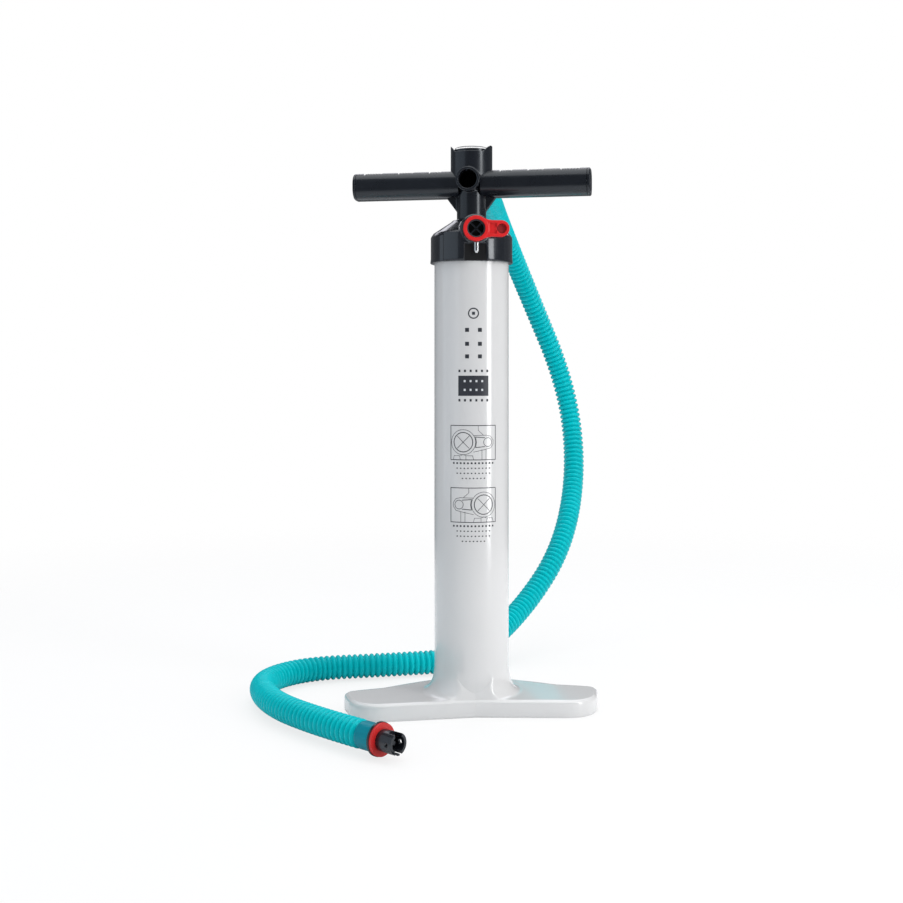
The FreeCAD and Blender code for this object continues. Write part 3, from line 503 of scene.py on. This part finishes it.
# ---------------------------------------------------------------- barrel and foot
FOOT = [(0, -45, 1.5), (126, -57, 40), (139, 6, 14), (95, 20, 14), (45, 50, 14),
        (-45, 50, 14), (-95, 20, 14), (-139, 6, 14), (-126, -57, 40)]
FOOT_TALL = 18
FLARE_RUN = 15  # how far the barrel's flare spreads over the foot
FLARE_RISE = 26  # and how far it climbs
EDGE = 4  # rounding of the foot's top edge
RIM_CLIMB = 2.4  # slope of the rim's surface further in, steep so that the flat top takes over
MELT = 3  # where the rim and the flare cross, they melt into each other over this height
HOLLOW = 13  # height of the hollow under the foot
BARREL_RADIUS = 40
BARREL_TOP = 503
BARREL_SIDES = 400


def make_barrel():
    """The barrel and its foot in one skin: rings round the barrel, out over the foot and in below it."""
    outline = np.array([tuple(p) for p in rounded(FOOT, closed=True, steps=14)])
    angles = -math.pi / 2 + np.linspace(0, 2 * math.pi, BARREL_SIDES, endpoint=False)
    rays = np.stack([np.cos(angles), np.sin(angles)], 1)
    edge = np.roll(outline, -1, axis=0) - outline
    reach = []
    for ray in rays:
        cross = ray[0] * edge[:, 1] - ray[1] * edge[:, 0]
        cross[np.abs(cross) < 1e-9] = 1e-9
        t = (outline[:, 0] * edge[:, 1] - outline[:, 1] * edge[:, 0]) / cross
        u = (outline[:, 0] * ray[1] - outline[:, 1] * ray[0]) / cross
        hit = (t > 0) & (u >= -1e-6) & (u <= 1 + 1e-6)
        reach.append(t[hit].max())
    reach = np.array(reach)

    def to_edge(p):
        """The distance of each point from the foot's outline."""
        share = ((p[:, None] - outline) * edge).sum(2) / np.maximum((edge ** 2).sum(1), 1e-9)
        share = np.clip(share, 0, 1)
        return np.linalg.norm(p[:, None] - outline - share[..., None] * edge, axis=2).min(1)

    rings = [[(BARREL_RADIUS * c, BARREL_RADIUS * s, z) for c, s in rays]
             for z in (BARREL_TOP, 470, 420, 360, 300, 240, 180, 120, 80, 60, 48)]
    steps = np.concatenate([np.linspace(0, 0.34, 18), np.linspace(0.4, 0.9, 9), np.linspace(0.92, 1, 12)])
    for t in steps:
        r = BARREL_RADIUS + (reach - BARREL_RADIUS) * t
        p = rays * r[:, None]
        inside = np.clip(BARREL_RADIUS + FLARE_RUN - r, 0, FLARE_RUN) / FLARE_RUN
        flare = FOOT_TALL + FLARE_RISE * (1 - np.sqrt(1 - inside ** 2))
        d = to_edge(p)
        if t == 1:
            d = d * 0
        near = np.clip(EDGE - d, 0, EDGE)
        rim = (FOOT_TALL - EDGE + np.sqrt(EDGE ** 2 - near ** 2)
               + RIM_CLIMB * np.clip(d - EDGE * 0.6, 0, None))
        blend = np.clip(0.5 + 0.5 * (rim - flare) / MELT, 0, 1)
        z = rim * (1 - blend) + flare * blend - MELT * blend * (1 - blend)
        rings.append([(x, y, h) for (x, y), h in zip(p, z)])
    outer = rays * reach[:, None]
    for inset, z in ((0, 9), (0, 3), (0.3, 1), (1, 0), (4, 0), (4.6, 1), (5.2, HOLLOW)):
        p = rays * (reach - inset)[:, None]
        rings.append([(x, y, z) for x, y in p])
    for share in (0.75, 0.45):
        rings.append([(x * share, y * share, HOLLOW) for x, y in outer])
    points, faces = loft(rings, caps=False)
    last = len(points) - BARREL_SIDES
    nexts = [(k + 1) % BARREL_SIDES for k in range(BARREL_SIDES)]
    points.append((0, 0, HOLLOW))
    faces += [[last + k, last + n, len(points) - 1] for k, n in enumerate(nexts)]
    points.append((0, 0, BARREL_TOP))
    faces += [[n, k, len(points) - 1] for k, n in enumerate(nexts)]
    shell = piece("barrel_shell", (points, faces), "base", "white_moulding", sharp=55)
    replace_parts(shell, "barrel_and_foot")

    # ribs under the wings and a round one under the barrel's wall
    ribs = []
    for across in (-106, -86, -66, 66, 86, 106):
        front = -45 - 12 * abs(across) / 126 + 5
        back = 20 + (95 - abs(across)) * 0.6 - 5 if abs(across) < 95 else 8
        ribs.append(box_shape((across - 1.5, front, 1.5), (across + 1.5, back, 13.5)))
    ribs.append(lathe([(37, 13.5, 0), (37, 1, 0.5), (40, 1, 0.5), (40, 13.5, 0)]))
    piece("foot_ribs", merged(*ribs), "base", "white_moulding")


# ---------------------------------------------------------------- print on the barrel
PRINT_TURN = math.radians(-90 - 2.5)  # the print's middle is a little to the left of the front
PRINT_RADIUS = 40.05


def wrapped(lines):
    """Flat strips ((u, z) corner quads) wrapped onto the barrel; u is the arc from the print's middle."""
    points, faces = [], []
    for a, b, c, d in lines:
        longest = max(abs(b[0] - a[0]), abs(c[0] - d[0]))
        steps = max(1, int(longest / 1.5))
        for k in range(steps + 1):
            t = k / steps
            for low, high in ((a, b), (d, c)):
                u = low[0] + (high[0] - low[0]) * t
                z = low[1] + (high[1] - low[1]) * t
                angle = PRINT_TURN + u / PRINT_RADIUS
                points.append((PRINT_RADIUS * math.cos(angle), PRINT_RADIUS * math.sin(angle), z))
            if k:
                n = len(points)
                faces.append([n - 4, n - 2, n - 1, n - 3])
    return points, faces


def bar(left, right, low, high):
    """A printed rectangle."""
    return [((left, low), (right, low), (right, high), (left, high))]


def stroke(line, width, closed=False):
    """A printed line of a given width, a quad to each of its spans."""
    quads = []
    pairs = list(zip(line, line[1:])) + ([(line[-1], line[0])] if closed else [])
    for p, q in pairs:
        p, q = Vector(p[:2]), Vector(q[:2])
        ahead = (q - p).normalized()
        side = Vector((-ahead.y, ahead.x)) * width / 2
        p, q = p - ahead * width * 0.3, q + ahead * width * 0.3
        quads.append((tuple(p - side), tuple(q - side), tuple(q + side), tuple(p + side)))
    return quads


def circle(u, z, radius, count=28):
    """Points round a circle."""
    return [(u + radius * math.cos(2 * math.pi * k / count), z + radius * math.sin(2 * math.pi * k / count))
            for k in range(count)]


def dashes(z, tall, wide, gaps, count):
    """A centred row of printed marks, gaps from one to the next."""
    quads = []
    for k in range(count):
        u = (k - (count - 1) / 2) * gaps
        quads += bar(u - wide / 2, u + wide / 2, z - tall / 2, z + tall / 2)
    return quads


def panel(low, flip):
    """A pictogram of the selector: a ring with its cross, its lever pointing right, or left if flipped."""
    def at(points):
        return [(flip * u, low + z) for u, z in points]
    quads = stroke([(-25, low), (25, low), (25, low + 36), (-25, low + 36)], 0.8, True)
    for radius, width in ((13.2, 0.5), (10.2, 0.9)):
        quads += stroke([(flip * -11 + u, low + 18.5 + z) for u, z in circle(0, 0, radius)], width, True)
    for lean in (45, 135):
        c, s = math.cos(math.radians(lean)), math.sin(math.radians(lean))
        quads += stroke(at([(-11 - 9 * c, 18.5 - 9 * s), (-11 + 9 * c, 18.5 + 9 * s)]), 0.6)
    quads += stroke([(flip * 15.5 + u, low + 18.5 + z) for u, z in circle(0, 0, 4.6)], 0.6, True)
    quads += stroke(at([(0.5, 25.5), (14, 25.8), (19, 24.6), (22, 20.5), (22, 16.5), (19, 12.4), (14, 11.2),
                        (0, 8.2)]), 0.5)
    quads += stroke(at([(12, 23.2), (2.2, 24), (3, 18.5), (2.2, 13), (12, 13.8)]), 0.8)
    quads += stroke(at([(5, 36), (5, 31), (10.5, 26)]), 0.45)
    for u in (9, 13.5):
        quads += stroke(at([(u, 11), (u, 0.4)]), 0.45)
    quads += stroke(at([(-22, 0.4), (-21, 4.4), (-15, 4.4), (-14, 0.4)]), 0.45)
    quads += stroke(at([(-14, 4.4), (-11, 5.6), (-8, 4.4), (-8, 0.4)]), 0.45)
    quads += stroke(at([(-8, 4.4), (-1, 4.4), (0, 0.4)]), 0.45)
    return quads


def make_print():
    """Plain marks where the photo's print is: a ring, squares, a block with dots and two drawings."""
    dark = stroke([(u, z) for u, z in circle(0, 422.6, 5.2)], 1.3, True)
    dark += bar(-1.6, 1.6, 421, 424.2)
    for z in (405.2, 390.6, 377.4):
        for u in (-6.8, 6.8):
            dark += bar(u - 2.1, u + 2.1, z - 2.1, z + 2.1)
    dark += dashes(362.2, 2.6, 2.2, 6.0, 6) + dashes(331.4, 2.6, 2.2, 6.0, 6)
    dark += bar(-16.3, 16.3, 336, 357.2)
    dark += panel(268.9, 1) + panel(203.4, -1)
    for top in (265.4, 199.4):
        dark += dashes(top, 1.9, 1.9, 3.9, 12)
        for row, count in ((1, 10), (2, 10), (3, 7)):
            dark += dashes(top - 5.3 * row, 1.3, 1.5, 3.9, count)
    piece("barrel_print", wrapped(dark), "base", "print_black")
    pale = dashes(351.5, 2.2, 2, 6.2, 4) + dashes(342.3, 2.2, 2, 6.2, 4)
    points, faces = wrapped(pale)
    lift = 1.0012  # the pale dots lie just outside the dark block
    points = [(x * lift, y * lift, z) for x, y, z in points]
    piece("barrel_print_pale", (points, faces), "base", "print_pale")


# ---------------------------------------------------------------- handle
GRIP_DEEP, GRIP_TALL, GRIP_ROUND, GRIP_HEIGHT = 34, 28.8, 12, 563
GRIP_START, GRIP_END = 12, 125
PADS = ((29, 48), (59, 82), (94, 120))  # where each pad on the top starts and ends
PAD_HALF = 12.7  # half of a pad's depth across the grip
PAD_TOP = 8  # pads are only on the part of the section above this
PORT = Matrix.Translation((0, 0, 566))


def grip_outline(inset=0.0):
    """The grip's section across the handle, (depth, height) points spaced evenly."""
    a, b = GRIP_DEEP / 2 - inset, GRIP_TALL / 2 - inset
    r = max(GRIP_ROUND - inset, 0.5)
    line = rounded([(a, -b, r), (a, b, r), (-a, b, r), (-a, -b, r)], closed=True, steps=12)
    line = np.array([tuple(p) for p in line + line[:1]])
    along = np.concatenate([[0], np.cumsum(np.linalg.norm(np.diff(line, axis=0), axis=1))])
    wanted = np.linspace(0, along[-1], 150, endpoint=False)
    return np.stack([np.interp(wanted, along, line[:, k]) for k in range(2)], 1)


def pad_depth(x, y):
    """How far the top is sunk at a place: a six-sided pad with a groove round it and a fine texture."""
    for start, end in PADS:
        middle, half = (start + end) / 2, (end - start) / 2
        edge = min(half - abs(x - middle) - 0.30 * abs(y), PAD_HALF - abs(y))
        if edge > 2.0:
            one, other = math.sin(x * 2.1 + y * 1.3), math.sin(x * 2.1 - y * 1.3) + 0.35
            return 0.75 - 0.6 * max(0, one) * max(0, other)
        if edge > 0:
            return 1.5 * min(1, edge / 0.6)
    return 0.0


def make_grip(name, side):
    """One grip with its sunk pads, and the plug in its end."""
    outline = grip_outline()
    rings = []
    for x in np.linspace(GRIP_START, GRIP_END, 240):
        ring = []
        for y, z in outline:
            sunk = pad_depth(x, y) if z > PAD_TOP else 0
            ring.append((side * x, y, GRIP_HEIGHT + z - sunk))
        rings.append(ring)
    piece(name, loft(rings), "plunger", "black_moulding", HANDLE, 60)

    rings = []
    for past, inset in ((-6, 3.2), (0.1, 3.2), (0.1, 0.5), (0.6, 0), (2.5, 0), (3.4, 0.9), (3.4, 3.6),
                        (2.6, 4.4), (2.6, 9)):
        rings.append([(side * (GRIP_END + past), y, GRIP_HEIGHT + z) for y, z in grip_outline(inset)])
    plug = piece(name + "_end", loft(rings), "plunger", "black_moulding", HANDLE, 40)
    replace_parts(plug, "left_grip_plug" if side < 0 else "right_grip_plug")


def make_hub():
    """The handle's hub: neck, front port, rear port, gussets under the grips and the dipped rim, and a
    near-black sleeve that paints the shade in the front port's bore.
    """
    hub = lathe([(0, 524.5, 0), (15.8, 524.5, 0.8), (15.8, 559.5, 4), (22.5, 571, 4), (22.5, 604.5, 0.4),
                 (0, 604.5, 0)], 72)
    port = placed(lathe([(0, 2, 0), (12.6, 2, 0), (12.6, 22, 0.4), (13, 22.4, 0.4), (13, 27, 0.8),
                         (0, 27, 0)], 64), PORT @ FRONT)
    rear = placed(lathe([(0, 2, 0), (13, 2, 0), (13, 36, 0.5), (0, 36, 0)], 64), PORT @ BACK)
    gusset = placed(prism([(-15.4, 533.5), (15.4, 533.5), (28.4, 551), (-28.4, 551)], -4, 4), FRONT)
    pocket = lathe([(0, 585, 0), (20, 585, 0), (20, 610, 0), (0, 610, 0)], 72)
    dip = placed(prism([(-15, 596.8), (15, 596.8), (22.4, 605.3), (22.4, 612), (-22.4, 612),
                        (-22.4, 605.3)], -40, 40), FRONT)
    bore = placed(lathe([(0, -8, 0), (10, -8, 0), (10, 40, 0), (0, 40, 0)], 64), PORT @ FRONT)
    shape = fused("hub", [hub, port, rear, gusset], [bore, pocket, dip], 0.62, 2)
    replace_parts(piece("handle_hub", shape, "plunger", "black_moulding", HANDLE, 180), "handle_body")
    # a thin near-black sleeve inside the front port's bore paints the bore's shade
    bore_shade = lathe([(0, -7.8, 0), (9.9, -7.8, 0), (9.9, 18, 0), (9.75, 18, 0), (9.75, -7.6, 0),
                    (0, -7.6, 0)], 64)
    piece("port_bore_painted_shade", bore_shade, "plunger", "black_inside", HANDLE @ PORT @ FRONT, 40)


def make_lens():
    """A low clear cover over the dial, a black ring on its shoulder that paints the dark line along the clear
    dome's edge, and the thin ring that holds it.
    """
    dome = lathe([(0, 602.1, 0), (14, 602, 0), (16.8, 601.7, 0), (18, 601.2, 0.4), (18.9, 600.3, 0.3),
                  (19.3, 599.5, 0), (19.3, 598.9, 0), (17.9, 598.9, 0), (17.4, 599.9, 0), (16.6, 600.5, 0),
                  (14, 600.9, 0), (0, 601.1, 0)], 96)
    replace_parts(piece("lens_dome", dome, "plunger", "clear_lens", HANDLE), "gauge_lens")
    ring = lathe([(16.9, 598.3, 0.2), (19.85, 598.3, 0.2), (19.85, 599.5, 0.3), (19.4, 599.5, 0.1),
                  (19.4, 598.8, 0.1), (16.9, 598.8, 0.2)], 96, True)
    # a black ring on the dome's shoulder paints the dark line that the clear dome's edge shows
    edge = lathe([(16.6, 601.7, 0), (16.7, 602.3, 0.1), (17.5, 602, 0.2), (17.9, 601.2, 0)], 96, True)
    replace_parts(piece("lens_ring", merged(ring, edge), "plunger", "black_moulding", HANDLE), "gauge_bezel")


DIAL_START = -135  # the needle's rest, in degrees from the grip on the right
DIAL_FACE = 596.02


def make_dial_marks():
    """Ticks and plain numbers round the dial, over the needle's 270 degrees."""
    marks = []
    for k in range(28):
        angle = math.radians(DIAL_START - 10 * k)
        inner, wide = (11.6, 0.55) if k % 5 == 0 else (13.4, 0.28)
        turn = Matrix.Rotation(angle, 4, "Z")
        marks.append(placed(box_shape((inner, -wide / 2, 0), (15.4, wide / 2, 0.06)), turn))
    marks.append(lathe([(15.6, 0, 0), (15.9, 0, 0), (15.9, 0.06, 0), (15.6, 0.06, 0)], 72, True))
    for k in range(0, 28, 5):
        data = bpy.data.curves.new("number", "FONT")
        data.body = str(k)
        data.size = 3.3
        data.align_x, data.align_y = "CENTER", "CENTER"
        holder = bpy.data.objects.new("number", data)
        scene.collection.objects.link(holder)
        bpy.context.view_layer.update()
        mesh = bpy.data.meshes.new_from_object(holder)
        angle = math.radians(DIAL_START - 10 * k)
        at = Vector((9.2 * math.cos(angle), 9.2 * math.sin(angle), 0.05))
        marks.append(([tuple(v.co + at) for v in mesh.vertices], [list(f.vertices) for f in mesh.polygons]))
        bpy.data.objects.remove(holder)
    on_dial = HANDLE @ Matrix.Translation((0, 0, DIAL_FACE))
    piece("dial_marks", merged(*marks), "plunger", "print_black", on_dial, 40)


# ---------------------------------------------------------------- cap and selector
SELECTOR = Matrix.Translation((0, 0, 510.5)) @ FRONT
PANEL_RADIUS = 44.95


def make_cap():
    """The screw cap with its front panel, the selector's boss, the niche with the pin, and a near-black plate
    that paints the shade at the back of the niche.
    """
    shell = lathe([(0, 477.5, 0), (44.6, 477.5, 0.5), (44, 483, 2), (44, 505.5, 2), (41.2, 509.6, 2),
                   (22.4, 522, 1), (20, 524.2, 0.6), (0, 524.2, 0)], 128)
    arc = [(PANEL_RADIUS * math.sin(math.radians(a)), -PANEL_RADIUS * math.cos(math.radians(a)))
           for a in range(-47, 48, 2)]
    panel_block = prism(arc + [(10, -20), (-10, -20)], 479.5, 508.6)
    boss = placed(lathe([(0, 18, 0), (14.6, 18, 0), (14.6, 46, 0.8), (0, 46, 0)], 80), SELECTOR)
    collar = placed(lathe([(0, 18, 0), (16.4, 18, 0), (16.4, 42.5, 1.5), (0, 42.5, 0)], 80), SELECTOR)
    niche = placed(prism([(-11.7, 470), (14.6, 470), (12.2, 484), (11.3, 495.9), (-11.7, 495.9)], 41.2, 52),
                   FRONT)
    seat = placed(lathe([(0, 41.6, 0), (11.5, 41.6, 0), (11.5, 50, 0), (0, 50, 0)], 64), SELECTOR)
    core = lathe([(0, 470, 0), (38.6, 470, 0), (38.6, 500, 0), (16, 500, 0), (16, 530, 0), (0, 530, 0)], 96)
    shape = fused("cap", [shell, panel_block, collar, boss], [niche, seat, core], 0.62, 2)
    cap = piece("cap_moulding", shape, "base", "black_gloss", None, 180)
    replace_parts(cap, "top_cap")
    # a thin near-black plate at the back of the niche paints the niche's shade
    shade = placed(prism([(-11.4, 478), (14, 478), (12, 484), (11, 495.7), (-11.4, 495.7)], 41.3, 41.5),
                   FRONT)
    piece("niche_shade", shade, "base", "painted_shade_black")
    pin = lathe([(0, 485.3, 0), (1.3, 485.3, 0.3), (2.9, 487.6, 0.4), (2.9, 496.6, 0.2), (0, 496.6, 0)], 40)
    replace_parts(piece("lock_pin", pin, "base", "bright_steel", Matrix.Translation((1, -44.2, 0))),
                "cap_lock_pin")


def make_selector():
    """The red lever with a darker red plate painting the shade in its pocket, the grille in its eye, and
    behind the grille a near-black disc painting the shade in the well.
    """
    eye = lathe([(0, 46.2, 0), (13.4, 46.2, 0.5), (13.4, 51.7, 0.8), (0, 51.7, 0)], 96)
    turn = np.linspace(-math.pi / 2, math.pi / 2, 25)
    end = [(26.4 + 8.6 * math.cos(t), 8.6 * math.sin(t)) for t in turn]
    arm = prism([(0, -9.4), (8, -10.8), (12, -9.3), (16, -8.6)] + end
                + [(16, 8.6), (12, 9.3), (8, 10.8), (0, 9.4)], 46.2, 51.4)
    bore = lathe([(0, 40, 0), (9.6, 40, 0), (9.6, 60, 0), (0, 60, 0)], 72)
    shallow = prism([tuple(p) for p in rounded([(13.8, -6.1, 0.6), (21.6, -5.7, 0.4), (21.6, 5.7, 0.4),
                                                (13.8, 6.1, 0.6)], True)], 49.4, 60)
    pocket_at = Matrix.Translation((26.8, 0, 0))
    deep = placed(lathe([(0, 47.7, 0), (5.3, 47.7, 0), (5.3, 60, 0), (0, 60, 0)], 56), pocket_at)
    shape = fused("lever", [eye, arm], [bore, shallow, deep], 0.3, 2)
    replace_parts(piece("lever_moulding", shape, "selector", "red_moulding", SELECTOR, 180), "selector_lever")
    # a darker red plate at the bottom of the lever's pocket paints the pocket's shade
    floor = lathe([(0, 47.2, 0), (4.9, 47.2, 0), (4.9, 47.9, 0), (0, 47.9, 0)], 56)
    piece("pocket_floor_painted_shade", placed(floor, pocket_at), "selector", "red_painted_shade", SELECTOR)

    rim = lathe([(8.1, 46.2, 0.2), (9.5, 46.2, 0.2), (9.5, 50.6, 0.5), (9.1, 51, 0.3),
                 (8.1, 50.4, 0.3)], 80, True)
    rib = box_shape((-8.3, -0.7, 48.6), (8.3, 0.7, 50.4))
    ribs = [placed(rib, Matrix.Rotation(math.radians(lean), 4, "Z")) for lean in (45, -45)]
    hub = lathe([(0, 48.2, 0), (1.0, 48.2, 0), (1.0, 50.1, 0.3), (0, 50.1, 0)], 24)
    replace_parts(piece("grille", merged(rim, hub, *ribs), "selector", "black_moulding", SELECTOR),
                "vent_grille")
    # the disc behind the grille is near black so that it paints the shade in the well
    well = lathe([(0, 45.6, 0), (11.3, 45.6, 0), (11.3, 41.8, 0), (0, 41.8, 0)], 64)
    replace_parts(piece("valve_disc", well, "selector", "black_inside", SELECTOR), "selector_disc")


# ---------------------------------------------------------------- put together
make_camera()
make_room()
LOOKS = make_looks()
for part in frame["record"]["subparts"]:
    node = frame["nodes"][part["node"]]
    node.data.materials.clear()
    node.data.materials.append(LOOKS[part["material_slot"]])

hose, line = make_hose()
make_barrel()
make_print()
make_grip("left_grip", -1)
make_grip("right_grip", 1)
make_hub()
make_lens()
make_dial_marks()
make_cap()
make_selector()

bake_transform(hose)
